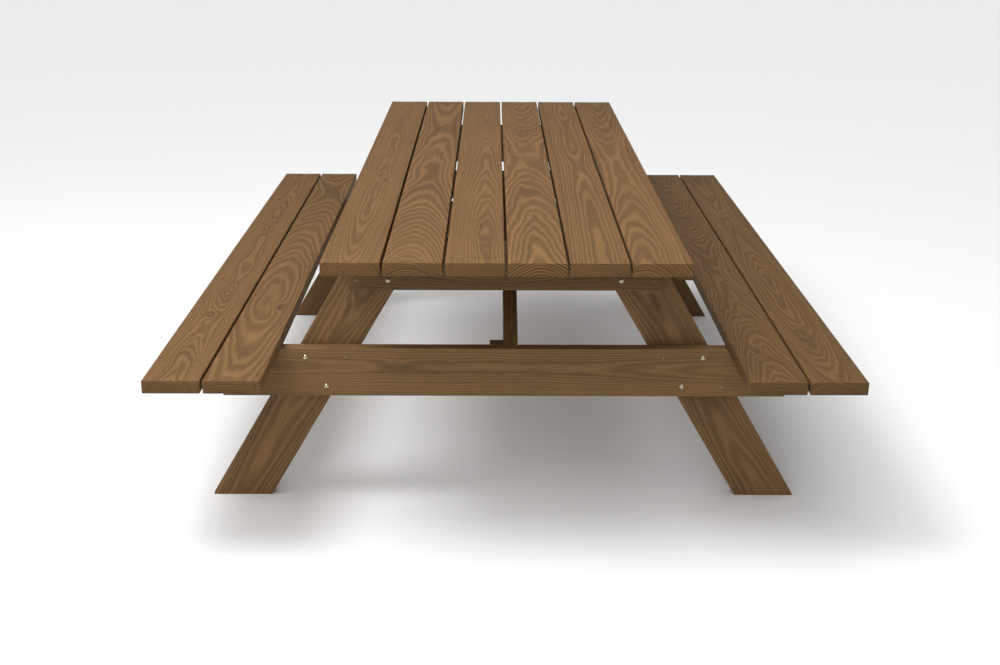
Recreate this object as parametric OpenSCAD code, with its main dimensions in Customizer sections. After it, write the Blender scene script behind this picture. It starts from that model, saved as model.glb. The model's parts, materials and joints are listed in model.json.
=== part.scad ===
// Picnic table with attached bench seats.
// Ten lengthwise boards lie on two splayed leg frames, a middle batten and two seat cleats.
// Origin: on the ground, at the middle of the table. +X to the right, +Y to the rear end, +Z up.
// Units: millimetres.

/* [Overall] */
// Length of the top boards and of the seat boards
table_l = 2440; // [2000:10:3000]
// Height of the top surface above the ground
top_h = 798; // [770:1:820]
// Height of the seat surface above the ground
seat_h = 493; // [470:1:505]
// Distance from the middle of the table to the outer edge of each seat
seat_reach = 903; // [895:1:930]
// Distance from each end of the boards to the outer face of the leg frame
frame_inset = 342; // [250:1:500]

/* [Boards] */
// Width of each top or seat board
board_w = 145; // [138:1:146]
// Thickness of each top or seat board
board_t = 35; // [28:1:38]
// Gap between neighbouring boards
board_gap = 6; // [5:1:12]
// Radius of the eased long edges of all timber
edge_r = 3; // [2:0.5:6]

/* [Frame timber] */
// Thickness of the frame timber
timber_t = 38; // [36:1:42]
// Depth of the seat beams and end battens, and width of the seat cleats
timber_w = 140; // [136:1:142]
// Depth of the legs
leg_w = 145; // [138:1:148]
// Depth of the braces and of the middle batten
light_w = 89; // [86:1:92]
// Lean of each leg from upright, in degrees
leg_splay = 30.5; // [30:0.1:31]
// Distance from the middle of the table to the middle of each foot
leg_foot_x = 746; // [740:1:752]
// Length of each batten under the top
batten_l = 842; // [840:1:860]
// Distance from the middle of the table to the start of the beam's end bevel
beam_flat_x = 772; // [765:1:780]
// Height of the square part of the beam's end, above the bevel
beam_nose = 20; // [15:1:24]

/* [Braces and cleats] */
// Thickness of the braces
brace_t = 41; // [38:1:44]
// Width of the square block beside each brace foot
block_w = 38; // [34:1:42]
// Length of the brace block
block_l = 100; // [95:1:110]
// Drop of the brace's upper edge below the seat beam's top, at the foot
brace_foot_drop = 14; // [10:1:20]
// Drop of the brace's upper edge below the top boards, at the head
brace_head_drop = 9; // [8:1:14]
// Distance from the middle of the table to the inner side of each brace, across the middle
brace_lap = 3; // [0:0.5:4]
// Length of each seat cleat, across the seat
cleat_l = 260; // [250:1:270]
// Distance from the middle of the seat length to the middle of the cleats, towards the front
cleat_y = 28; // [0:1:60]
// Inward shift of the right seat cleat from the middle of its seat
cleat_right_shift = 48; // [0:1:50]

/* [Fasteners] */
// Diameter of the carriage bolts
bolt_d = 6.4; // [6:0.1:7]
// Diameter of the domed bolt heads
bolt_head_d = 14; // [12:0.5:18]
// Height of the domed bolt heads
bolt_head_h = 3.6; // [3:0.1:4.5]
// Outer diameter of the washers
washer_d = 18; // [16:0.5:20]
// Diameter of the locating nails
nail_d = 4; // [3.5:0.1:4.5]
// Diameter of the nail heads
nail_head_d = 6.5; // [6:0.5:8]
// Diameter of the wood screws
screw_d = 5; // [4.5:0.1:5.5]
// Diameter of the screw heads
screw_head_d = 9; // [8:0.5:10]

/* [Hidden] */
$fn = 48;

// Stain colours
top_brown = [0.55, 0.42, 0.29];
seat_brown = [0.47, 0.35, 0.23];
frame_brown = [0.41, 0.31, 0.20];
dark_brown = [0.30, 0.22, 0.15];
zinc = [0.72, 0.70, 0.62];

// Heights
top_under = top_h - board_t;
seat_under = seat_h - board_t;
beam_low = seat_under - timber_w;
batten_low = top_under - timber_w;
middle_low = top_under - light_w;

// Positions along the table, all for the front end: the rear end is the front turned half round
board_pitch = board_w + board_gap;
frame_y = -table_l / 2 + frame_inset;
beam_y = frame_y + timber_t / 2;
leg_y = frame_y + timber_t * 1.5;
beam_back_y = frame_y + timber_t;
nut_y = frame_y + timber_t * 2;

// Positions across the table
seat_outer_x = seat_reach - board_w / 2;
seat_inner_x = seat_outer_x - board_pitch;
seat_mid_x = (seat_outer_x + seat_inner_x) / 2;
beam_l = 2 * (beam_flat_x + timber_w - beam_nose);
brace_x = brace_t / 2 - brace_lap;
block_x = -brace_lap - block_w / 2;

// Slope line of a brace's upper edge
brace_foot_z = seat_under - brace_foot_drop;
brace_head_z = top_under - brace_head_drop;
brace_run = -timber_t / 2 - beam_back_y;
brace_angle = atan((brace_head_z - brace_foot_z) / brace_run);

// Fastener places
arc_steps = 3;
row_inset = 27;
beam_bolt_off = 52;
beam_nail_off = 58;
batten_bolt_off = 49;
batten_nail_off = 37;
beam_rows = [seat_under - row_inset, beam_low + row_inset + 2];
batten_rows = [top_under - row_inset, batten_low + row_inset + 1];
screw_off = 32;
beam_screw_off = 26;
cleat_screw_off = 30;
screw_bite = 22;
screw_grip = 45;
cup_d = 12;
fit_gap = 0.15;
washer_t = 1.6;
nut_t = 5.6;
nut_af = 11.1;
thread_out = 3;
neck_h = 4;
nail_l = 62;
nail_head_h = 1.4;
screw_head_h = 2.6;
screw_tip = 5;
cleat_drop = 1;
block_screw_l = 62;
head_screw_l = 76;
block_low = seat_under - block_l;
block_rows = [block_low + 22, block_low + 80];
foot_rows = [block_low + 42, block_low + 62];
head_rows = [middle_low + 24, middle_low + 58];

// X of a leg's centre line at height z
function leg_x(z) = leg_foot_x - z * tan(leg_splay);

// Bolt and nail places on one end frame, as [x, z], for both legs
function frame_pairs(rows, off) = [
    for (side = [-1, 1])
        for (i = [0, 1])
            [side * (leg_x(rows[i]) + (i == 0 ? off : -off)), rows[i]]
];
beam_bolt_at = frame_pairs(beam_rows, beam_bolt_off);
beam_nail_at = frame_pairs(beam_rows, -beam_nail_off);
batten_bolt_at = frame_pairs(batten_rows, batten_bolt_off);
batten_nail_at = frame_pairs(batten_rows, -batten_nail_off);

// Screw places across the table
function top_x(i) = (i - 3.5) * board_pitch;
function pair(x, off) = [x - off, x + off];
top_screw_x = [for (i = [1 : 6]) for (x = pair(top_x(i), screw_off)) x];
seat_screw_x = concat(pair(seat_inner_x, beam_screw_off), pair(seat_outer_x, beam_screw_off));
batten_ys = [beam_y, 0, -beam_y];
cleat_left_x = -seat_mid_x;
cleat_right_x = seat_mid_x - cleat_right_shift;

// Two screws from a cleat into each board of its seat, kept clear of the cleat's end
function cleat_screw_x(x) = [
    for (bx = pair(seat_mid_x, board_pitch / 2))
        for (dx = [-1, 1])
            sign(x) * min(bx + dx * cleat_screw_off, abs(x) + cleat_l / 2 - 20)
];

// Points of one rounded corner of a timber section
function corner(cx, cy, r, start) = [
    for (i = [0 : arc_steps])
        [cx + r * cos(start + 90 * i / arc_steps), cy + r * sin(start + 90 * i / arc_steps)]
];

// Section of planed timber with eased edges
module eased_section(w, t) {
    x = w / 2 - edge_r;
    y = t / 2 - edge_r;
    polygon(concat(
        corner(x, y, edge_r, 0),
        corner(-x, y, edge_r, 90),
        corner(-x, -y, edge_r, 180),
        corner(x, -y, edge_r, 270)
    ));
}

// Timber lying along Y, w wide across X and t thick
module plank_y(w, t, l) {
    rotate([90, 0, 0]) linear_extrude(l, center = true) eased_section(w, t);
}

// Timber lying along X on its edge, w deep
module plank_x(w, t, l) {
    rotate([0, 90, 0]) linear_extrude(l, center = true) eased_section(w, t);
}

// Turns the front end's pieces half round, to the rear end
module at_end(rear) {
    rotate([0, 0, rear ? 180 : 0]) children();
}

// Straight hole upwards from the origin
module hole_up(d, h) {
    cylinder(d = d + 2 * fit_gap, h = h);
}

// Straight hole towards the rear from the origin
module hole_back(d, h) {
    rotate([-90, 0, 0]) cylinder(d = d + 2 * fit_gap, h = h);
}

// Wood screw pointing up: its head's lower face is at z = -screw_head_h
module wood_screw(l) {
    difference() {
        union() {
            translate([0, 0, -screw_head_h]) cylinder(d = screw_head_d, h = screw_head_h);
            cylinder(d = screw_d, h = l - screw_tip);
            translate([0, 0, l - screw_tip]) cylinder(d1 = screw_d, d2 = 1, h = screw_tip);
        }
        translate([0, 0, -screw_head_h - 1]) cylinder(d = 4, h = 2.4, $fn = 6);
    }
}

// Nail pointing to the rear, with a low domed head in front of the origin
module nail() {
    rotate([-90, 0, 0]) {
        cylinder(d = nail_d, h = nail_l - screw_tip);
        translate([0, 0, nail_l - screw_tip]) cylinder(d1 = nail_d, d2 = 1, h = screw_tip);
        dome(nail_head_d, nail_head_h);
    }
}

// Low dome standing on z = 0 and pointing down
module dome(d, h) {
    r = (d * d / 4 + h * h) / (2 * h);
    intersection() {
        translate([0, 0, r - h]) sphere(r = r);
        translate([0, 0, -h]) cylinder(d = d, h = h);
    }
}

// Carriage bolt pointing to the rear: dome outside, square neck in the timber
module carriage_bolt() {
    rotate([-90, 0, 0]) {
        dome(bolt_head_d, bolt_head_h);
        translate([-bolt_d / 2, -bolt_d / 2, 0]) cube([bolt_d, bolt_d, neck_h]);
        cylinder(d = bolt_d, h = 2 * timber_t + washer_t + nut_t + thread_out);
    }
}

// Room for a carriage bolt through both timbers
module bolt_hole() {
    side = bolt_d + 2 * fit_gap;
    translate([0, -1, 0]) hole_back(bolt_d, 2 * timber_t + 2);
    translate([-side / 2, -1, -side / 2]) cube([side, neck_h + 1, side]);
}

module bolt_washer() {
    rotate([-90, 0, 0]) difference() {
        cylinder(d = washer_d, h = washer_t);
        translate([0, 0, -1]) hole_up(bolt_d, washer_t + 2);
    }
}

module bolt_nut() {
    rotate([-90, 0, 0]) difference() {
        cylinder(d = nut_af / cos(30), h = nut_t, $fn = 6);
        translate([0, 0, -1]) hole_up(bolt_d, nut_t + 2);
    }
}

// Copies of a fastener at each [x, z] place on one end frame's outer face
module on_frame(places, y) {
    for (p = places) translate([p[0], y, p[1]]) children();
}

// Holes for a nail at each place
module nail_holes(places) {
    on_frame(places, frame_y) hole_back(nail_d, nail_l);
}

// Screw hole up through a batten or beam, with a deep cup for the head from below
module cupped_hole(top_z) {
    translate([0, 0, top_z - screw_grip]) hole_up(screw_d, screw_grip + 1);
    translate([0, 0, -1]) cylinder(d = cup_d, h = top_z - screw_grip + 1);
}

// Blind screw holes in the underside of a surface board
module pilot_holes(xs, ys, z) {
    for (x = xs) for (y = ys) translate([x, y, z - 1]) hole_up(screw_d, screw_bite + 2);
}

// ---- Boards ----

module top_board(i) {
    color(top_brown) difference() {
        translate([top_x(i), 0, top_h - board_t / 2]) plank_y(board_w, board_t, table_l);
        pilot_holes(pair(top_x(i), screw_off), batten_ys, top_under);
    }
}

module seat_board(x, cleat_x) {
    color(seat_brown) difference() {
        translate([x, 0, seat_h - board_t / 2]) plank_y(board_w, board_t, table_l);
        pilot_holes(pair(x, beam_screw_off), [beam_y, -beam_y], seat_under);
        pilot_holes(cleat_screw_x(cleat_x), [-cleat_y], seat_under);
    }
}

// ---- Leg frames ----

module leg(side) {
    color(frame_brown) difference() {
        intersection() {
            translate([side * leg_foot_x, leg_y, 0])
                rotate([0, -side * leg_splay, 0])
                    linear_extrude(2.6 * top_under, center = true) eased_section(leg_w, timber_t);
            translate([-seat_reach, frame_y, 0]) cube([2 * seat_reach, 3 * timber_t, top_under]);
        }
        on_frame(beam_bolt_at, frame_y) bolt_hole();
        on_frame(batten_bolt_at, frame_y) bolt_hole();
        nail_holes(beam_nail_at);
        nail_holes(batten_nail_at);
    }
}

module end_batten() {
    color(frame_brown) difference() {
        translate([0, beam_y, top_under - timber_w / 2]) plank_x(timber_w, timber_t, batten_l);
        on_frame(batten_bolt_at, frame_y) bolt_hole();
        nail_holes(batten_nail_at);
        for (x = top_screw_x) translate([x, beam_y, batten_low]) cupped_hole(timber_w);
    }
}

module seat_beam() {
    color(frame_brown) difference() {
        translate([0, beam_y, seat_under - timber_w / 2]) plank_x(timber_w, timber_t, beam_l);
        for (side = [-1, 1])
            translate([side * beam_flat_x, beam_y, beam_low])
                rotate([0, -side * 45, 0]) translate([0, 0, -timber_w])
                    cube([4 * timber_w, 2 * timber_t, 2 * timber_w], center = true);
        on_frame(beam_bolt_at, frame_y) bolt_hole();
        nail_holes(beam_nail_at);
        for (side = [-1, 1]) for (x = seat_screw_x)
            translate([side * x, beam_y, beam_low]) cupped_hole(timber_w);
        for (z = block_rows) translate([block_x, beam_back_y, z]) block_screw_hole();
    }
}

// ---- Middle ----

module middle_batten() {
    color(dark_brown) difference() {
        translate([0, 0, top_under - light_w / 2]) plank_x(light_w, timber_t, batten_l);
        for (x = top_screw_x) translate([x, 0, middle_low]) cupped_hole(light_w);
        for (rear = [false, true]) at_end(rear) head_screw_holes();
    }
}

module seat_cleat(x) {
    color(dark_brown) difference() {
        translate([x, -cleat_y, seat_under - timber_t / 2])
            rotate([90, 0, 90]) linear_extrude(cleat_l, center = true) eased_section(timber_w, timber_t);
        for (sx = cleat_screw_x(x))
            translate([sx, -cleat_y, seat_under - timber_t]) {
                translate([0, 0, -1]) hole_up(screw_d, timber_t + 2);
                translate([0, 0, -1]) cylinder(d = cup_d, h = screw_head_h + cleat_drop + 1);
            }
    }
}

module brace() {
    color(dark_brown) difference() {
        intersection() {
            translate([brace_x, beam_back_y, brace_foot_z])
                rotate([brace_angle, 0, 0]) translate([0, 0, -light_w / 2])
                    rotate([90, 0, 0]) linear_extrude(4 * brace_run, center = true)
                        eased_section(brace_t, light_w);
            translate([-timber_t, beam_back_y, 0]) cube([3 * timber_t, brace_run, top_under]);
        }
        head_screw_holes();
        foot_screw_holes();
    }
}

module brace_block() {
    color(dark_brown) difference() {
        translate([block_x, beam_back_y + block_w / 2, block_low])
            linear_extrude(block_l) eased_section(block_w, block_w);
        for (z = block_rows) translate([block_x, beam_back_y, z]) block_screw_hole();
        foot_screw_holes();
    }
}

// Screws towards the front, from the block's back face into the beam
module block_screw_hole() {
    translate([0, block_w + 1, 0]) rotate([90, 0, 0]) hole_up(screw_d, block_screw_l + 2);
}

module foot_screw_holes() {
    for (z = foot_rows) translate([block_x - block_w / 2 - 1, beam_back_y + block_w / 2, z])
        rotate([0, 90, 0]) hole_up(screw_d, block_screw_l + 2);
}

// Screws towards the front, through the middle batten into the brace's head
module head_screw_holes() {
    for (z = head_rows) translate([brace_x, timber_t / 2 + 1, z])
        rotate([90, 0, 0]) hole_up(screw_d, head_screw_l + 2);
}

// ---- Fasteners ----

module beam_bolts() {
    color(zinc) on_frame(beam_bolt_at, frame_y) carriage_bolt();
}

module batten_bolts() {
    color(zinc) on_frame(batten_bolt_at, frame_y) carriage_bolt();
}

module bolt_washers() {
    color(zinc) for (rear = [false, true]) at_end(rear)
        on_frame(concat(beam_bolt_at, batten_bolt_at), nut_y) bolt_washer();
}

module bolt_nuts() {
    color(zinc) for (rear = [false, true]) at_end(rear)
        on_frame(concat(beam_bolt_at, batten_bolt_at), nut_y + washer_t) bolt_nut();
}

module beam_nails() {
    color(zinc) for (rear = [false, true]) at_end(rear) on_frame(beam_nail_at, frame_y) nail();
}

module batten_nails() {
    color(zinc) for (rear = [false, true]) at_end(rear) on_frame(batten_nail_at, frame_y) nail();
}

module top_board_screws() {
    color(zinc) for (x = top_screw_x) for (y = batten_ys)
        translate([x, y, top_under - screw_grip]) wood_screw(screw_grip + screw_bite);
}

module seat_board_screws() {
    color(zinc) for (side = [-1, 1]) for (x = seat_screw_x) for (y = [beam_y, -beam_y])
        translate([side * x, y, seat_under - screw_grip]) wood_screw(screw_grip + screw_bite);
}

module seat_cleat_screws() {
    color(zinc) for (x = [cleat_left_x, cleat_right_x]) for (sx = cleat_screw_x(x))
        translate([sx, -cleat_y, seat_under - timber_t + screw_head_h + cleat_drop])
            wood_screw(timber_t - screw_head_h - cleat_drop + screw_bite);
}

module brace_block_screws() {
    color(zinc) for (rear = [false, true]) at_end(rear) for (z = block_rows)
        translate([block_x, beam_back_y + block_w, z]) rotate([90, 0, 0]) wood_screw(block_screw_l);
}

module brace_foot_screws() {
    color(zinc) for (rear = [false, true]) at_end(rear) for (z = foot_rows)
        translate([block_x - block_w / 2, beam_back_y + block_w / 2, z])
            rotate([0, 90, 0]) wood_screw(block_screw_l);
}

module brace_head_screws() {
    color(zinc) for (rear = [false, true]) at_end(rear) for (z = head_rows)
        translate([brace_x, timber_t / 2, z]) rotate([90, 0, 0]) wood_screw(head_screw_l);
}

// ---- Nodes ----

top_board(1);  // top_board_1
top_board(2);  // top_board_2
top_board(3);  // top_board_3
top_board(4);  // top_board_4
top_board(5);  // top_board_5
top_board(6);  // top_board_6
seat_board(-seat_outer_x, cleat_left_x);  // seat_board_left_outer
seat_board(-seat_inner_x, cleat_left_x);  // seat_board_left_inner
seat_board(seat_inner_x, cleat_right_x);  // seat_board_right_inner
seat_board(seat_outer_x, cleat_right_x);  // seat_board_right_outer
leg(-1);  // leg_front_left
leg(1);  // leg_front_right
at_end(true) leg(1);  // leg_rear_left
at_end(true) leg(-1);  // leg_rear_right
end_batten();  // top_batten_front
middle_batten();  // top_batten_centre
at_end(true) end_batten();  // top_batten_rear
seat_beam();  // seat_beam_front
at_end(true) seat_beam();  // seat_beam_rear
seat_cleat(cleat_left_x);  // seat_cleat_left
seat_cleat(cleat_right_x);  // seat_cleat_right
brace();  // brace_front
at_end(true) brace();  // brace_rear
brace_block();  // brace_block_front
at_end(true) brace_block();  // brace_block_rear
beam_bolts();  // beam_bolts_front
at_end(true) beam_bolts();  // beam_bolts_rear
batten_bolts();  // batten_bolts_front
at_end(true) batten_bolts();  // batten_bolts_rear
bolt_washers();
bolt_nuts();
beam_nails();
batten_nails();
top_board_screws();
seat_board_screws();
seat_cleat_screws();
brace_block_screws();
brace_foot_screws();
brace_head_screws();
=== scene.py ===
"""Stained pine picnic table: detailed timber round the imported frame, on a pale floor in soft light."""
import json
import math

import bmesh
import bpy
import numpy as np
from mathutils import Matrix, Vector, noise

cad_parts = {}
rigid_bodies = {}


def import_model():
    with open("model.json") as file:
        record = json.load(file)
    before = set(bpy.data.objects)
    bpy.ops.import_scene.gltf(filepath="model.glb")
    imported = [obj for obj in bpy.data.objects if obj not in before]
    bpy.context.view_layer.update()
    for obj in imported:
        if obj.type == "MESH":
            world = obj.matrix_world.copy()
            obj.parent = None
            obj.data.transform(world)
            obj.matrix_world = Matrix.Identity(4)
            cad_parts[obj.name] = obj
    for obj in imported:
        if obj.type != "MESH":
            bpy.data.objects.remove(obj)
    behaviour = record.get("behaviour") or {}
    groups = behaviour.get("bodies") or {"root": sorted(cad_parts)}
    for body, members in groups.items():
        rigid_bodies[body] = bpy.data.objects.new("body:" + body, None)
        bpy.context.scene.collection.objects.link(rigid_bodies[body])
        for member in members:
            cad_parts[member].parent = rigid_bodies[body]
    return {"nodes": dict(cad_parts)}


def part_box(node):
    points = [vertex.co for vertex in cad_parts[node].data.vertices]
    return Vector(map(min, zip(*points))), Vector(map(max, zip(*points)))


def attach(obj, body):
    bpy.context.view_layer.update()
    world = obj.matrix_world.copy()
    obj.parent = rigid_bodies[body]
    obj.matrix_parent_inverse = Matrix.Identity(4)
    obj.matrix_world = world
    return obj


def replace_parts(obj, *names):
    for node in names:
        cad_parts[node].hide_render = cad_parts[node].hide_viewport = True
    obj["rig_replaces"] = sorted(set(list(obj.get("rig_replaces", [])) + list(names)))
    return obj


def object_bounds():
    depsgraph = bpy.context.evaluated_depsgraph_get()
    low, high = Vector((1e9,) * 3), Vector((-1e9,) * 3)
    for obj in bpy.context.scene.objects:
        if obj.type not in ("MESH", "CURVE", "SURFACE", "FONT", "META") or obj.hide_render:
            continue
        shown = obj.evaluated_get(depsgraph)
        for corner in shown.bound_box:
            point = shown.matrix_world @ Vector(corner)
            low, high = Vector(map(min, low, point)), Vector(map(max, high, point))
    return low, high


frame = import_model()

BOX_LOW, BOX_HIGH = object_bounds()

MM = 0.001
ROOT = "root"

# ---- Viewing angle: where the eye stands from the middle of the front end, on the ground ----
EYE = (-0.035, -3.055, 1.668)
EYE_PITCH = math.radians(18.905)
EYE_YAW = math.radians(0.38)
EYE_ROLL = math.radians(0.29)
SENSOR = 36                # sensor width, in millimetres
LENS = 47.58               # focal length, in millimetres
FAR = 500                  # nothing beyond this is drawn
FLOOR_R = 200              # far enough out to reach past every view

# ---- Sizes repeated from the part's design ----
EDGE_R = 3 * MM            # eased long edges
END_R = 1.8 * MM           # softened saw cut at the ends
LEG_SPLAY = math.radians(30.5)
BEAM_FLAT_X = 772 * MM     # where the seat beam's end bevel starts
TOP_PAIR = 32 * MM         # screws either side of a top board's middle
SEAT_PAIR = 26 * MM        # screws either side of a seat board's middle
CUP_R = 6 * MM             # cups for the screw heads
SCREW_GRIP = 45 * MM       # timber left above a deep cup
CLEAT_CUP = 3.6 * MM       # depth of the shallow cups in the cleats
SCREW_APART = 4 * MM       # points of one screw lie closer together than this
MIDDLE_Y = 10 * MM         # a timber behind this faces the rear

# ---- Sizes of the detailed timber ----
STATION = 45 * MM          # spacing of the cross-sections along a piece
FACE_STEP = 14 * MM        # spacing of the points across a face
ARC_STEPS = 4              # steps round each eased edge
SKIN = 0.25 * MM           # how far the detailed surface lies inside the design's
CUPPING = 0.5 * MM         # hollow across the boards' upper faces
WAVE_SINK = 0.35 * MM      # deepest slow hollow left by planing
NICK_SINK = 0.25 * MM      # deepest small nick
SPARE = 1.4                # a brace starts this many times too long, and is sawn to length
CUT_START = 10 * MM        # how far outside a face a drill starts
END_CORNERS = 12           # a face with more corners than this is a sawn end
CUT_FACING = 0.45          # faces that look this much along the grain are saw cuts
SHARP = math.radians(38)   # edges sharper than this stay crisp

# ---- Knots ----
KNOTS = ("knot_a", "knot_b", "knot_c")
KNOT_ALONG = 48 * MM       # reach of a knot's swirl along the grain
KNOT_ACROSS = 15 * MM      # and across it
NO_KNOT = (9.0, 9.0, 0.0)  # far off and of no strength, where a piece has fewer knots

# ---- Growth rings ----
SEED_STEP = 7.3            # how far apart the logs lie along the noise
WAVER = (3.6, 13.0, 13.0)  # how often the rings waver, in cycles a metre
WAVER_SIZE = (0.0, 12 * MM, 18 * MM)
FRAY = 0.3                 # how far the ring edges fray, in rings
UNEVEN_STEP = 0.42         # how fast the ring widths vary from ring to ring
RING_SHAPE = [(0.0, 0.42), (0.14, 0.18), (0.34, 0.06), (0.50, 0.22),
              (0.66, 0.86), (0.80, 0.98), (0.92, 0.72), (1.0, 0.42)]
RING_MEAN = 0.45           # level that the rings swing about

AXIS_X = Vector((1, 0, 0))
AXIS_Y = Vector((0, 1, 0))
AXIS_Z = Vector((0, 0, 1))


# ---------------------------------------------------------------- camera, light, floor

def make_camera():
    """The viewing angle: straight on to the front end, from standing eye height."""
    data = bpy.data.cameras.new("camera")
    data.sensor_width = SENSOR
    data.lens = LENS
    data.clip_end = FAR
    cam = bpy.data.objects.new("camera", data)
    bpy.context.scene.collection.objects.link(cam)
    ahead = Vector((math.sin(EYE_YAW), math.cos(EYE_YAW), 0))
    forward = ahead * math.cos(EYE_PITCH) - AXIS_Z * math.sin(EYE_PITCH)
    right = forward.cross(AXIS_Z).normalized()
    right = Matrix.Rotation(-EYE_ROLL, 3, forward) @ right
    up = right.cross(forward)
    basis = Matrix((right, up, -forward)).transposed().to_4x4()
    front = Vector(((BOX_LOW.x + BOX_HIGH.x) / 2, BOX_LOW.y, BOX_LOW.z))
    cam.matrix_world = Matrix.Translation(front + Vector(EYE)) @ basis
    bpy.context.scene.camera = cam


def soft_box(name, place, aim, size, energy):
    """A round soft lamp at place, turned towards aim."""
    data = bpy.data.lights.new(name, "AREA")
    data.shape = "DISK"
    data.size = size
    data.energy = energy
    lamp = bpy.data.objects.new(name, data)
    turn = (Vector(aim) - Vector(place)).to_track_quat("-Z", "Y").to_matrix().to_4x4()
    lamp.matrix_world = Matrix.Translation(Vector(place)) @ turn
    bpy.context.scene.collection.objects.link(lamp)


def make_lights():
    """A wide soft light overhead, two soft boxes at the front and left, and a pale surround."""
    sun = bpy.data.lights.new("overhead", "SUN")
    sun.energy = 1.70
    sun.angle = math.radians(70)
    lamp = bpy.data.objects.new("overhead", sun)
    lamp.rotation_euler = (math.radians(10), math.radians(-20), 0)
    bpy.context.scene.collection.objects.link(lamp)
    soft_box("left_box", (-1.6, -1.6, 4.0), (-0.4, -0.8, 0.6), 1.6, 84)
    soft_box("front_box", (-0.9, -5.6, 2.9), (0, -0.9, 0.5), 2.4, 58)
    make_surround()


def make_surround():
    """Soft fill that comes mostly from above."""
    world = bpy.data.worlds.new("surround")
    bpy.context.scene.world = world
    world.use_nodes = True
    tree = world.node_tree
    tree.nodes.clear()
    facing = tree.nodes.new("ShaderNodeTexCoord")
    split = tree.nodes.new("ShaderNodeSeparateXYZ")
    rise = tree.nodes.new("ShaderNodeMapRange")
    rise.inputs["From Min"].default_value = 0.0
    rise.inputs["From Max"].default_value = 0.8
    rise.inputs["To Min"].default_value = 0.30
    rise.inputs["To Max"].default_value = 0.62
    fill = tree.nodes.new("ShaderNodeBackground")
    fill.inputs["Color"].default_value = (1, 1, 1, 1)
    out = tree.nodes.new("ShaderNodeOutputWorld")
    tree.links.new(facing.outputs["Generated"], split.inputs[0])
    tree.links.new(split.outputs["Z"], rise.inputs["Value"])
    tree.links.new(rise.outputs[0], fill.inputs["Strength"])
    tree.links.new(fill.outputs[0], out.inputs["Surface"])


def make_floor():
    """A plain pale floor, kept out of the part."""
    bm = bmesh.new()
    bmesh.ops.create_circle(bm, cap_ends=True, segments=96, radius=FLOOR_R)
    mesh = bpy.data.meshes.new("floor")
    bm.to_mesh(mesh)
    bm.free()
    floor = bpy.data.objects.new("floor", mesh)
    bpy.context.scene.collection.objects.link(floor)
    mat = bpy.data.materials.new("pale_floor")
    mat.use_nodes = True
    shader = mat.node_tree.nodes["Principled BSDF"]
    shader.inputs["Base Color"].default_value = (0.80, 0.80, 0.80, 1)
    shader.inputs["Roughness"].default_value = 0.9
    shader.inputs["Specular IOR Level"].default_value = 0.1
    mesh.materials.append(mat)


# ---------------------------------------------------------------- node helpers

class Nodes:
    """Short calls for building a material's node tree."""

    def __init__(self, name):
        self.mat = bpy.data.materials.new(name)
        self.mat.use_nodes = True
        self.tree = self.mat.node_tree
        self.shader = self.tree.nodes["Principled BSDF"]

    def add(self, kind, **settings):
        node = self.tree.nodes.new(kind)
        for key, value in settings.items():
            setattr(node, key, value)
        return node

    def plug(self, value, socket):
        if isinstance(value, bpy.types.NodeSocket):
            self.tree.links.new(value, socket)
        else:
            socket.default_value = value

    def math(self, operation, a, b=0.0, c=0.0):
        node = self.add("ShaderNodeMath", operation=operation)
        for value, socket in zip((a, b, c), node.inputs):
            self.plug(value, socket)
        return node.outputs[0]

    def vector(self, operation, a, b=(0, 0, 0)):
        node = self.add("ShaderNodeVectorMath", operation=operation)
        self.plug(a, node.inputs[0])
        self.plug(b, node.inputs[1])
        return node.outputs["Value" if operation in ("LENGTH", "DOT_PRODUCT") else "Vector"]

    def noise(self, where, scale, detail=2.0, roughness=0.5, output="Fac"):
        """Noise in a space stretched by scale, an (x, y, z) in cycles a metre."""
        node = self.add("ShaderNodeTexNoise", noise_dimensions="3D")
        self.plug(self.vector("MULTIPLY", where, scale), node.inputs["Vector"])
        node.inputs["Scale"].default_value = 1.0
        node.inputs["Detail"].default_value = detail
        node.inputs["Roughness"].default_value = roughness
        return node.outputs[output]

    def ramp(self, value, stops, spline="LINEAR"):
        node = self.add("ShaderNodeValToRGB")
        node.color_ramp.interpolation = spline
        elements = node.color_ramp.elements
        while len(elements) < len(stops):
            elements.new(0.5)
        for element, (place, level) in zip(elements, stops):
            element.position = place
            element.color = (level, level, level, 1) if isinstance(level, (int, float)) else (*level, 1)
        self.plug(value, node.inputs["Fac"])
        return node.outputs["Color"]

    def mix(self, factor, a, b):
        node = self.add("ShaderNodeMix", data_type="RGBA")
        self.plug(factor, node.inputs[0])
        self.plug(a, node.inputs[6])
        self.plug(b, node.inputs[7])
        return node.outputs[2]

    def attribute(self, name, output="Fac"):
        return self.add("ShaderNodeAttribute", attribute_name=name).outputs[output]

    def scaled(self, vector, factor):
        """A vector times a factor."""
        node = self.add("ShaderNodeVectorMath", operation="SCALE")
        self.plug(vector, node.inputs[0])
        self.plug(factor, node.inputs["Scale"])
        return node.outputs["Vector"]

    def rough_up(self, height, strength, depth):
        """Fine relief from a height, depth metres deep."""
        bump = self.add("ShaderNodeBump")
        bump.inputs["Strength"].default_value = strength
        bump.inputs["Distance"].default_value = depth
        self.plug(height, bump.inputs["Height"])
        self.plug(bump.outputs["Normal"], self.shader.inputs["Normal"])

    def centred(self, value, gain):
        """A 0 to 1 value as a swing of gain either side of 1."""
        return self.math("MULTIPLY_ADD", value, 2 * gain, 1 - gain)


# ---------------------------------------------------------------- stained pine

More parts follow.
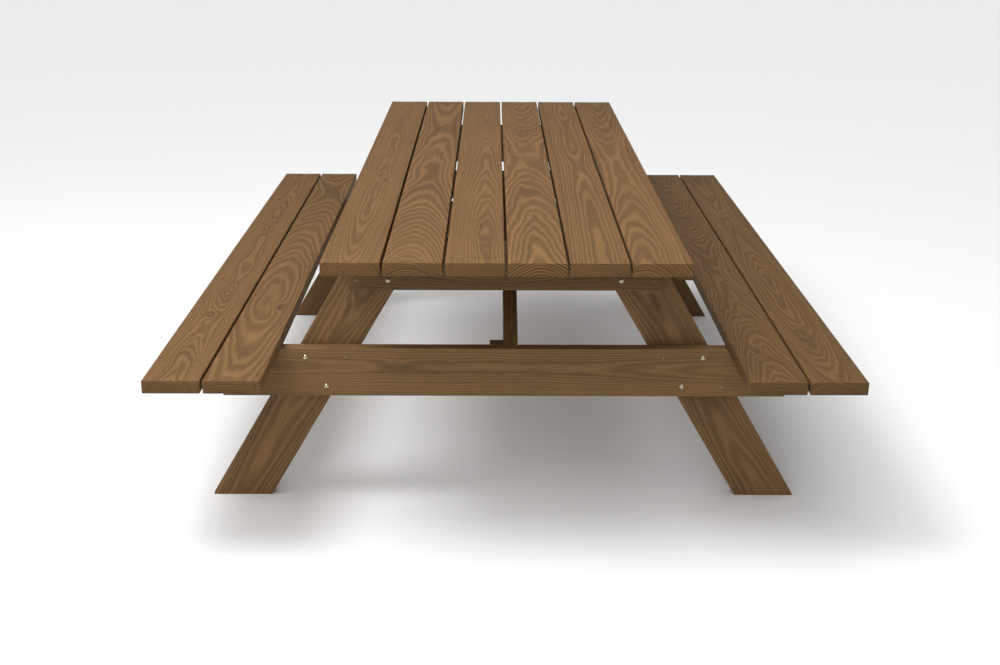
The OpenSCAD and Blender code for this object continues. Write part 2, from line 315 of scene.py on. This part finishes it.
def knot_swell(n, where, name):
    """How far a knot bends the rings at each point, and how near its middle the point is, 1 to 0."""
    middle = n.attribute(name, "Vector")
    apart = n.vector("MULTIPLY", n.vector("SUBTRACT", where, middle), (1, 1, 0))
    apart = n.vector("MULTIPLY", apart, (1 / KNOT_ALONG, 1 / KNOT_ACROSS, 0))
    reach = n.vector("LENGTH", apart)
    bell = n.math("EXPONENT", n.math("MULTIPLY", n.math("MULTIPLY", reach, reach), -1.0))
    depth = n.add("ShaderNodeSeparateXYZ")
    n.plug(middle, depth.inputs[0])
    return n.math("MULTIPLY", bell, depth.outputs["Z"]), bell


def ring_field(n, where, place):
    """Growth rings as a solid: rings counted outwards from the pith, bent round the knots.

    Gives the ring count, the nearness to the first knot, and a value that varies from ring to ring.
    """
    waver = n.noise(where, WAVER, output="Color")
    waver = n.vector("SUBTRACT", waver, (0.5, 0.5, 0.5))
    size = n.scaled(WAVER_SIZE, n.attribute("wave"))
    bent = n.vector("ADD", where, n.vector("MULTIPLY", waver, size))
    radius = n.vector("LENGTH", n.vector("MULTIPLY", bent, (0.0, 1.0, 1.0)))
    count = n.math("DIVIDE", radius, n.attribute("ring"))
    bells = []
    for name in KNOTS:
        bend, bell = knot_swell(n, place, name)
        count = n.math("ADD", count, bend)
        bells.append(bell)
    frayed = n.noise(where, (24.0, 240.0, 240.0), detail=1.0)
    count = n.math("MULTIPLY_ADD", frayed, FRAY, count)
    uneven = n.add("ShaderNodeTexNoise", noise_dimensions="2D")
    stretch = n.add("ShaderNodeCombineXYZ")
    n.plug(n.math("MULTIPLY", count, UNEVEN_STEP), stretch.inputs["X"])
    n.plug(n.attribute("seed"), stretch.inputs["Y"])
    n.plug(stretch.outputs[0], uneven.inputs["Vector"])
    uneven.inputs["Scale"].default_value = 1.0
    uneven.inputs["Detail"].default_value = 0.0
    uneven = uneven.outputs["Fac"]
    return n.math("ADD", uneven, count), bells[0], uneven


def pine(name, pale, deep):
    """Brown-stained pine: stain sinks into the soft early wood and leaves the late wood pale."""
    n = Nodes(name)
    where = n.attribute("grain", "Vector")
    place = n.attribute("place", "Vector")
    cut = n.attribute("cut")
    count, core, uneven = ring_field(n, where, place)
    ring = n.ramp(n.math("FRACT", count), RING_SHAPE, "B_SPLINE")
    swing = n.math("SUBTRACT", ring, RING_MEAN)
    ring = n.math("MULTIPLY_ADD", swing, ring_strength(n, where, cut), RING_MEAN)
    fibre = n.noise(where, (22.0, 900.0, 900.0))
    tint = n.mix(ring, (*deep, 1), (*pale, 1))
    # the shade factor includes each piece's paleness, which is partly painted shade
    tint = n.scaled(tint, stain_and_painted_shade(n, where, cut, ring, core, uneven, fibre))
    n.plug(tint, n.shader.inputs["Base Color"])
    rough = n.math("MULTIPLY_ADD", ring, -0.10, 0.70)
    rough = n.math("MULTIPLY_ADD", fibre, 0.10, rough)
    n.plug(rough, n.shader.inputs["Roughness"])
    n.shader.inputs["Specular IOR Level"].default_value = 0.20
    n.rough_up(n.math("MULTIPLY_ADD", fibre, 0.45, ring), 0.5, 0.3 * MM)
    return n.mat


def ring_strength(n, where, cut):
    """How strongly the rings show: fading in places along a face, stronger on saw cuts."""
    fade = n.noise(where, (1.3, 9.0, 9.0))
    strength = n.ramp(fade, [(0.34, 0.72), (0.60, 1.0)], "EASE")
    strength = n.math("MULTIPLY_ADD", cut, 0.4, strength)
    return n.math("MULTIPLY", strength, n.attribute("contrast"))


def stain_and_painted_shade(n, where, cut, ring, core, uneven, fibre):
    """Lightens or darkens the stain: fibres, blotches, rings, flecks, paleness (partly painted shade), saw
    cuts, knots.
    """
    patch = n.noise(where, (2.2, 7.0, 7.0), detail=3.0, roughness=0.6)
    flecks = n.noise(where, (12.0, 300.0, 300.0))
    soaked = n.math("MULTIPLY_ADD", ring, 0.24, -0.41)
    shade = n.math("MULTIPLY", n.centred(fibre, 0.14), n.centred(patch, 0.20))
    for factor in (
        n.centred(uneven, 0.16),
        n.ramp(flecks, [(0.28, 0.78), (0.46, 1.0)]),
        # each piece's paleness: partly the stain's own, partly painted shade
        n.attribute("tone"),
        n.math("MULTIPLY_ADD", cut, soaked, 1.0),
        n.ramp(core, [(0.55, 1.0), (0.95, 0.74)], "EASE"),
    ):
        shade = n.math("MULTIPLY", shade, factor)
    return shade


def plated_steel(name, dull, bright, rough):
    """Zinc plate with a faint yellow cast and small dull spots."""
    n = Nodes(name)
    where = n.add("ShaderNodeTexCoord").outputs["Object"]
    cloud = n.noise(where, (160.0, 160.0, 160.0), detail=3.0)
    tint = n.ramp(cloud, [(0.35, dull), (0.65, bright)], "EASE")
    n.plug(tint, n.shader.inputs["Base Color"])
    n.shader.inputs["Metallic"].default_value = 1.0
    speck = n.noise(where, (700.0, 700.0, 700.0))
    n.plug(n.math("MULTIPLY_ADD", speck, 0.20, rough), n.shader.inputs["Roughness"])
    n.rough_up(speck, 0.2, 0.1 * MM)
    return n.mat


# ---------------------------------------------------------------- timber meshes

def spread(low, high, step):
    """Evenly spaced values from low to high, no further apart than step."""
    count = max(1, math.ceil((high - low) / step))
    return [low + (high - low) * i / count for i in range(count + 1)]


def section(width, thick):
    """Points round a timber section with eased edges, width along v and thick along w."""
    v, w = width / 2 - EDGE_R, thick / 2 - EDGE_R
    corners = [(v, w, 0), (-v, w, 90), (-v, -w, 180), (v, -w, 270)]
    flats = [spread(-v, v, FACE_STEP)[::-1], spread(-w, w, FACE_STEP)[::-1],
             spread(-v, v, FACE_STEP), spread(-w, w, FACE_STEP)]
    loop = []
    for i, (cv, cw, start) in enumerate(corners):
        for k in range(ARC_STEPS + 1):
            a = math.radians(start + 90 * k / ARC_STEPS)
            loop.append((cv + EDGE_R * math.cos(a), cw + EDGE_R * math.sin(a)))
        for p in flats[i][1:-1]:
            loop.append([(p, thick / 2), (-width / 2, p), (p, -thick / 2), (width / 2, p)][i])
    return loop


def timber_bmesh(length, width, thick):
    """An eased bar along local X, centred on the origin, with capped ends."""
    bm = bmesh.new()
    loop = section(width, thick)
    rings = [[bm.verts.new((u, v, w)) for v, w in loop] for u in spread(-length / 2, length / 2, STATION)]
    for a, b in zip(rings, rings[1:]):
        for i in range(len(loop)):
            j = (i + 1) % len(loop)
            bm.faces.new((a[i], a[j], b[j], b[i]))
    bm.faces.new(list(reversed(rings[0])))
    bm.faces.new(rings[-1])
    bmesh.ops.recalc_face_normals(bm, faces=bm.faces)
    return bm


def saw(bm, point, normal):
    """Cuts away what lies beyond a plane and closes the cut."""
    geom = bm.verts[:] + bm.edges[:] + bm.faces[:]
    cut = bmesh.ops.bisect_plane(bm, geom=geom, plane_co=point, plane_no=normal, clear_outer=True, dist=1e-6)
    edges = [e for e in cut["geom_cut"] if isinstance(e, bmesh.types.BMEdge)]
    bmesh.ops.contextual_create(bm, geom=edges)


def soften_ends(bm):
    """Bevels the rim of every sawn face."""
    rims = set()
    for face in bm.faces:
        if len(face.verts) > END_CORNERS:
            rims.update(face.edges)
    bmesh.ops.bevel(bm, geom=list(rims), offset=END_R, segments=2, profile=0.5, affect="EDGES",
                    clamp_overlap=True)


def weather(bm, seed, width, thick, cup):
    """Shallow waviness and a slight hollow across the outer wide face, always inside the planed size."""
    bm.normal_update()
    for vert in bm.verts:
        u, v, w = vert.co
        wave = noise.noise(Vector((u * 4 + seed, v * 14, w * 14)))
        nick = noise.noise(Vector((u * 38 + seed, v * 60, w * 60)))
        across = 1 - (2 * v / width) ** 2
        sink = SKIN + WAVE_SINK * (wave + 1) / 2 + NICK_SINK * max(0.0, nick)
        if abs(w) > thick / 2 - EDGE_R and w > 0:
            sink += cup * across
        vert.co -= vert.normal * sink


def drill(ob, holes):
    """Cuts round holes, each (start, end, radius), in the piece's own space."""
    bm = bmesh.new()
    for start, end, radius in holes:
        start, end = Vector(start), Vector(end)
        axis = end - start
        turn = AXIS_Z.rotation_difference(axis).to_matrix().to_4x4()
        place = Matrix.Translation((start + end) / 2) @ turn
        bmesh.ops.create_cone(bm, cap_ends=True, segments=24, radius1=radius, radius2=radius,
                              depth=axis.length, matrix=place)
    mesh = bpy.data.meshes.new("cutter")
    bm.to_mesh(mesh)
    bm.free()
    cutter = bpy.data.objects.new("cutter", mesh)
    bpy.context.scene.collection.objects.link(cutter)
    mod = ob.modifiers.new("holes", "BOOLEAN")
    mod.object = cutter
    mod.operation = "DIFFERENCE"
    mod.solver = "EXACT"
    bpy.context.view_layer.update()
    cut = bpy.data.meshes.new_from_object(ob.evaluated_get(bpy.context.evaluated_depsgraph_get()))
    ob.modifiers.clear()
    old = ob.data
    ob.data = cut
    bpy.data.meshes.remove(old)
    bpy.data.objects.remove(cutter)


def add_attribute(mesh, name, kind, values):
    """Stores one value or vector for each point of the mesh."""
    layer = mesh.attributes.new(name, kind, "POINT")
    key = "vector" if kind == "FLOAT_VECTOR" else "value"
    layer.data.foreach_set(key, np.asarray(values, np.float32).ravel())


class Log:
    """Where a piece sits in its log, in millimetres.

    depth, side and the paleness are evenly spaced values from one end of the piece to the other: how far the
    pith lies below the outer face, how far to the side of its middle, and how pale the piece is drawn. The
    paleness is partly the stain's own and partly painted shade, lower where a piece stands in shade or lies
    far from the lamps. knots are (along, across, strength), measured from the middle of the piece, with the
    strength in rings.
    """

    def __init__(self, seed, ring, depth, side=(0, 0), wave=1.0, tone=(1, 1), contrast=1.0, knots=()):
        self.seed = seed
        self.ring = ring * MM
        self.depth = [d * MM for d in depth]
        self.side = [d * MM for d in side]
        self.wave = wave
        self.tone = tone
        self.contrast = contrast
        self.knots = [(a * MM, c * MM, s) for a, c, s in knots]


def smooth_curve(values, t):
    """A smooth curve through evenly spaced values, read at each t from 0 to 1."""
    p = np.concatenate([[2 * values[0] - values[1]], values, [2 * values[-1] - values[-2]]])
    x = np.clip(t, 0, 1) * (len(values) - 1)
    i = np.minimum(x.astype(int), len(values) - 2)
    f = x - i
    a, b, c, d = p[i], p[i + 1], p[i + 2], p[i + 3]
    return b + 0.5 * f * (c - a + f * (2 * a - 5 * b + 4 * c - d + f * (3 * (b - c) + d - a)))


def mark_grain(mesh, log, length, thick):
    """Stores each point's place in the log: along the grain, and across from the pith."""
    count = len(mesh.vertices)
    co = np.zeros(count * 3)
    mesh.vertices.foreach_get("co", co)
    co = co.reshape(-1, 3)
    t = co[:, 0] / length + 0.5
    grain = co.copy()
    grain[:, 0] += log.seed * SEED_STEP
    grain[:, 1] -= smooth_curve(log.side, t)
    grain[:, 2] += smooth_curve(log.depth, t) - thick / 2
    add_attribute(mesh, "grain", "FLOAT_VECTOR", grain)
    add_attribute(mesh, "place", "FLOAT_VECTOR", co)
    # paleness along the piece, partly painted shade
    add_attribute(mesh, "tone", "FLOAT", smooth_curve(log.tone, t))
    for name in ("ring", "contrast", "wave", "seed"):
        add_attribute(mesh, name, "FLOAT", np.full(count, getattr(log, name)))
    knots = list(log.knots) + [NO_KNOT] * len(KNOTS)
    for name, knot in zip(KNOTS, knots):
        add_attribute(mesh, name, "FLOAT_VECTOR", np.tile(knot, (count, 1)))
    cut = [1.0 if abs(poly.normal.x) > CUT_FACING else 0.0 for poly in mesh.polygons]
    layer = mesh.attributes.new("cut", "FLOAT", "FACE")
    layer.data.foreach_set("value", cut)


def smooth_by_angle(mesh):
    """Smooth shading, but for the sharp edges."""
    mesh.polygons.foreach_set("use_smooth", [True] * len(mesh.polygons))
    bm = bmesh.new()
    bm.from_mesh(mesh)
    for edge in bm.edges:
        if len(edge.link_faces) == 2 and edge.calc_face_angle(0) > SHARP:
            edge.smooth = False
    bm.to_mesh(mesh)
    bm.free()


def timber(node, centre, along, facing, size, log, material, cuts=(), holes=(), cup=0.0):
    """One detailed piece of timber that stands for a CAD node.

    along and facing are the directions of its length and of its outer wide face; size is
    (length, width, thick). cuts are (point, normal) planes and holes are (start, end, radius), both in
    the table's own frame.
    """
    length, width, thick = size
    u = along.normalized()
    w = facing.normalized()
    v = w.cross(u)
    place = Matrix.Translation(centre) @ Matrix((u, v, w)).transposed().to_4x4()
    back = place.inverted()
    bm = timber_bmesh(length, width, thick)
    for point, normal in cuts:
        saw(bm, back @ Vector(point), back.to_3x3() @ Vector(normal))
    soften_ends(bm)
    weather(bm, log.seed, width, thick, cup)
    mesh = bpy.data.meshes.new(node)
    bm.to_mesh(mesh)
    bm.free()
    ob = bpy.data.objects.new("wood_" + node, mesh)
    bpy.context.scene.collection.objects.link(ob)
    if holes:
        drill(ob, [(back @ Vector(a), back @ Vector(b), r) for a, b, r in holes])
    smooth_by_angle(ob.data)
    mark_grain(ob.data, log, length, thick)
    ob.data.transform(place)
    ob.data.materials.clear()
    ob.data.materials.append(material)
    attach(ob, ROOT)
    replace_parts(ob, node)
    return ob


# ---------------------------------------------------------------- the table's pieces

def middle(node):
    """The middle and the size of a node's box."""
    low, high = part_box(node)
    return (low + high) / 2, high - low


def make_board(node, log, material):
    """A board laid along the table, slightly hollow on top."""
    centre, size = middle(node)
    timber(node, centre, AXIS_Y, AXIS_Z, (size.y, size.x, size.z), log, material, cup=CUPPING)


def top_screw_places():
    """X of the screws up into the top boards, two to a board."""
    places = []
    for i in range(1, 7):
        x = middle(f"top_board_{i}")[0].x
        places += [x - TOP_PAIR, x + TOP_PAIR]
    return places


def seat_screw_places():
    """X of the screws up into the seat boards, two to a board."""
    places = []
    for side in ("left", "right"):
        for row in ("outer", "inner"):
            x = middle(f"seat_board_{side}_{row}")[0].x
            places += [x - SEAT_PAIR, x + SEAT_PAIR]
    return places


def cup_holes(xs, y, low, top):
    """Deep cups from below, up to the screw heads."""
    return [((x, y, low - CUT_START), (x, y, top - SCREW_GRIP), CUP_R) for x in xs]


def make_cross_timber(node, log, material, xs, cuts=()):
    """A timber on edge across the table, with its screw cups."""
    centre, size = middle(node)
    low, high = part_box(node)
    facing = AXIS_Y if centre.y > MIDDLE_Y else -AXIS_Y
    holes = cup_holes(xs, centre.y, low.z, high.z)
    timber(node, centre, AXIS_X, facing, (size.x, size.z, size.y), log, material, cuts, holes)


def beam_cuts(node):
    """The 45 degree bevels at the lower corners of a beam."""
    low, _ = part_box(node)
    return [((side * BEAM_FLAT_X, 0, low.z), (side, 0, -1)) for side in (-1, 1)]


def make_leg(node, log, material):
    """A splayed leg, cut level at foot and head."""
    centre, size = middle(node)
    side = 1 if centre.x > 0 else -1
    low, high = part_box(node)
    along = Vector((-side * math.sin(LEG_SPLAY), 0, math.cos(LEG_SPLAY)))
    facing = AXIS_Y if centre.y > 0 else -AXIS_Y
    width = (size.x - size.z * math.tan(LEG_SPLAY)) * math.cos(LEG_SPLAY)
    cuts = [((0, 0, low.z), (0, 0, -1)), ((0, 0, high.z), (0, 0, 1))]
    length = size.z / math.cos(LEG_SPLAY) + 2 * width
    timber(node, centre, along, facing, (length, width, size.y), log, material, cuts)


def make_brace(node, log, material):
    """A brace, cut upright at both ends and as deep as the middle batten."""
    centre, size = middle(node)
    low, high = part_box(node)
    depth = middle("top_batten_centre")[1].z
    slope = brace_slope(size, depth)
    toward = 1 if centre.y < 0 else -1
    along = Vector((0, toward * math.cos(slope), math.sin(slope)))
    facing = Vector((-toward, 0, 0))
    cuts = [((0, low.y, 0), (0, -1, 0)), ((0, high.y, 0), (0, 1, 0))]
    size = (size.y * SPARE, depth, size.x)
    timber(node, centre, along, facing, size, log, material, cuts)


def brace_slope(size, depth):
    """The slope at which a bar of this depth, cut upright, fills its box."""
    slope = 0.3
    for _ in range(30):
        slope = math.atan((size.z - depth / math.cos(slope)) / size.y)
    return slope


def make_block(node, log, material):
    """A short upright block beside a brace's foot."""
    centre, size = middle(node)
    facing = AXIS_Y if centre.y < 0 else -AXIS_Y
    timber(node, centre, AXIS_Z, facing, (size.z, size.x, size.y), log, material)


def make_cleat(node, log, material):
    """A cleat laid flat under a seat, with its shallow screw cups."""
    centre, size = middle(node)
    xs = cleat_screws(node)
    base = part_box(node)[0].z
    holes = [((x, centre.y, base - CUT_START), (x, centre.y, base + CLEAT_CUP), CUP_R) for x in xs]
    timber(node, centre, AXIS_X, -AXIS_Z, tuple(size), log, material, (), holes)


def cleat_screws(node):
    """X of each screw that goes up through this cleat, from the screws themselves."""
    low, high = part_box(node)
    verts = frame["nodes"]["seat_cleat_screws"].data.vertices
    xs = sorted(v.co.x for v in verts if low.x < v.co.x < high.x)
    groups = [[xs[0]]]
    for x in xs[1:]:
        if x - groups[-1][-1] > SCREW_APART:
            groups.append([])
        groups[-1].append(x)
    return [(g[0] + g[-1]) / 2 for g in groups]


def top_logs():
    """The six top boards from left to right; side counts to the left, seen from the front."""
    # The boards grow darker towards the far end, most of all board 6: partly painted shade for the light
    # falling off away from the front.
    return [
        Log(1, 3.8, (68, 58, 53, 53, 56, 56, 60, 58, 62), (2, 2, 2, 0, 0, 2, 2, 0, 0),
            wave=0.5, tone=(0.98, 0.96), contrast=0.75, knots=[(-290, -16, 2.4), (930, 10, 1.6)]),
        Log(2, 5.4, (96, 130, 160, 176, 178, 186, 190, 186, 180), (11, 12, 11, 8, 0, -10, -18, -18, -14),
            wave=0.55, tone=(0.98, 0.92, 0.90), knots=[(575, -20, 3.0), (130, 20, -1.6)]),
        Log(3, 4.0, (53, 50, 57, 68, 75, 76, 47, 38, 44), (-28, -26, -22, -20, -24, -24, -20, -18, -14),
            wave=0.7, contrast=0.9, knots=[(-1010, -24, 1.2)]),
        Log(4, 7.4, (104, 118, 136, 158, 172, 166, 140, 110, 86), (-8, -6, -4, 2, 2, -6, -8, -4, 0),
            wave=1.3, tone=(1.02, 0.98, 0.96)),
        Log(5, 5.0, (66, 68, 70, 74, 77, 72, 74, 70, 73), (-8, -12, -16, -16, -16, -16, -16, -14, -12),
            wave=0.4, tone=(0.97, 0.93, 0.93)),
        Log(6, 6.0, (86, 97, 108, 116, 118, 114, 104, 94, 84), (42, 30, 20, 12, 8, 6, 0, -6, -10),
            wave=0.65, tone=(1.02, 0.98, 0.86), contrast=0.9),
    ]


def seat_logs():
    """The four seat boards; side counts to the left, seen from the front."""
    # The right-hand boards are drawn much darker, and all grow darker towards the far end: painted shade for
    # light from the front left, partly cut off by the top.
    return {
        "left_outer": Log(7, 4.4, (45, 62, 64, 56, 53, 57, 58, 66, 72), (4, 4, -4, -8, -8, 2, 4, 0, 0),
                          wave=1.3, tone=(0.97, 0.97, 0.94, 0.91, 0.90),
                          knots=[(-690, 2, 2.6), (-450, -8, -2.0), (370, 5, -2.2)]),
        "left_inner": Log(8, 5.2, (194, 183, 173, 176, 194, 212, 232, 244, 230),
                          (4, 8, 16, 16, 10, 2, -4, 0, 4), wave=0.65,
                          tone=(1.00, 0.92, 0.93, 0.87, 0.80), knots=[(-617, -27, 1.8)]),
        "right_inner": Log(9, 4.2, (98, 120, 140, 150, 146, 126, 106, 86, 70),
                           (-4, -8, -4, 0, 6, 10, 8, 8, 6), wave=0.9,
                           tone=(0.82, 0.74, 0.71, 0.73, 0.64), contrast=0.85,
                           knots=[(-991, 12, 2.6)]),
        "right_outer": Log(10, 3.8, (108, 94, 84, 82, 88, 96, 98, 92, 88), (4, 6, 6, 4, 4, 6, 8, 8, 8),
                           wave=0.8, tone=(0.79, 0.77, 0.72, 0.74, 0.62), contrast=0.85,
                           knots=[(-833, 9, 2.6), (528, 10, 2.0)]),
    }


def leg_logs():
    """The legs, from foot to head."""
    # The front legs are drawn darker from the foot up towards the head, and the rear right leg darker all
    # over: painted shade under the top and away from the lamps.
    return {
        "front_left": Log(11, 6.4, (92, 84, 78, 66, 50), (0, 6, 4, -4, -8),
                          tone=(1.00, 0.96, 0.89, 0.85, 0.84), knots=[(200, 8, 0.9)]),
        "front_right": Log(12, 6.4, (84, 88, 94, 86, 62), (0, 4, 0, -4, -4), wave=0.9,
                           tone=(1.10, 0.93, 0.80, 0.90, 0.90), knots=[(228, -6, 0.9)]),
        "rear_left": Log(13, 5.4, (60, 66, 72, 64, 56), (8, 4, 0, 0, 4), tone=(1.00, 1.00)),
        "rear_right": Log(14, 6.0, (78, 70, 60, 54, 60), (-6, -2, 2, 6, 6), tone=(0.82, 0.82)),
    }


def cross_logs():
    """The timbers on edge across the table, from left to right."""
    return {
        # The front batten is drawn darker than the rest: painted shade for the shadow of the top's overhang.
        "top_batten_front": Log(15, 4.6, (84, 80, 76, 80, 74), (30, 26, 20, 22, 30), tone=(0.70, 0.70)),
        "top_batten_rear": Log(16, 4.8, (72, 76, 80, 74, 70), (-20, -14, -10, -8, -12)),
        "top_batten_centre": Log(17, 4.4, (62, 66, 70, 66, 64), (12, 8, 4, 8, 12)),
        "seat_beam_front": Log(18, 3.8, (60, 62, 65, 66, 67, 65, 61, 57, 52),
                               (22, 20, 17, 15, 15, 12, 9, 6, 4), wave=0.35,
                               tone=(0.97, 0.97), contrast=0.8, knots=[(-297, 20, 1.1)]),
        "seat_beam_rear": Log(19, 5.0, (60, 64, 72, 70, 66, 60, 54, 56, 60), (-10, -6, 0, 4, 6, 2, 0, 4, 8),
                              wave=0.8, knots=[(240, 14, 1.8)]),
    }


def make_timbers():
    """Every timber piece, in the stain of its own part of the table."""
    top = pine("pine_top", (0.199, 0.105, 0.0370), (0.110, 0.0565, 0.0178))
    seat = pine("pine_seat", (0.198, 0.106, 0.0378), (0.110, 0.0570, 0.0182))
    frame_wood = pine("pine_frame", (0.206, 0.117, 0.0475), (0.120, 0.066, 0.0265))
    for i, log in enumerate(top_logs(), 1):
        make_board(f"top_board_{i}", log, top)
    for name, log in seat_logs().items():
        make_board(f"seat_board_{name}", log, seat)
    for name, log in leg_logs().items():
        make_leg(f"leg_{name}", log, frame_wood)
    cross = cross_logs()
    tops, seats = top_screw_places(), seat_screw_places()
    for end in ("front", "rear"):
        node = f"top_batten_{end}"
        make_cross_timber(node, cross[node], frame_wood, tops)
        node = f"seat_beam_{end}"
        make_cross_timber(node, cross[node], frame_wood, seats, beam_cuts(node))
    node = "top_batten_centre"
    make_cross_timber(node, cross[node], frame_wood, tops)
    for i, end in enumerate(("front", "rear")):
        brace = Log(20 + i, 4.2, (44, 40, 46), (30, 34, 28), tone=(0.95, 0.95))
        make_brace(f"brace_{end}", brace, frame_wood)
        block = Log(22 + i, 4.0, (36, 34), (12, 14), tone=(0.95, 0.95))
        make_block(f"brace_block_{end}", block, frame_wood)
    for i, side in enumerate(("left", "right")):
        make_cleat(f"seat_cleat_{side}", Log(24 + i, 4.4, (58, 62), (14, 10)), frame_wood)


def finish_hardware():
    """The CAD fasteners keep their shapes and take the plated finish."""
    bolt = plated_steel("plated_bolt", (0.36, 0.31, 0.20), (0.54, 0.49, 0.36), 0.20)
    nail = plated_steel("dull_nail", (0.20, 0.16, 0.10), (0.34, 0.28, 0.19), 0.45)
    stood_for = {n for ob in bpy.data.objects for n in ob.get("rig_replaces", [])}
    for name, ob in frame["nodes"].items():
        if name not in stood_for:
            ob.data.materials.clear()
            ob.data.materials.append(nail if "nails" in name else bolt)
            ob.data.polygons.foreach_set("use_smooth", [True] * len(ob.data.polygons))


bpy.context.scene.view_settings.view_transform = "Standard"
make_camera()
make_lights()
make_floor()
make_timbers()
finish_hardware()
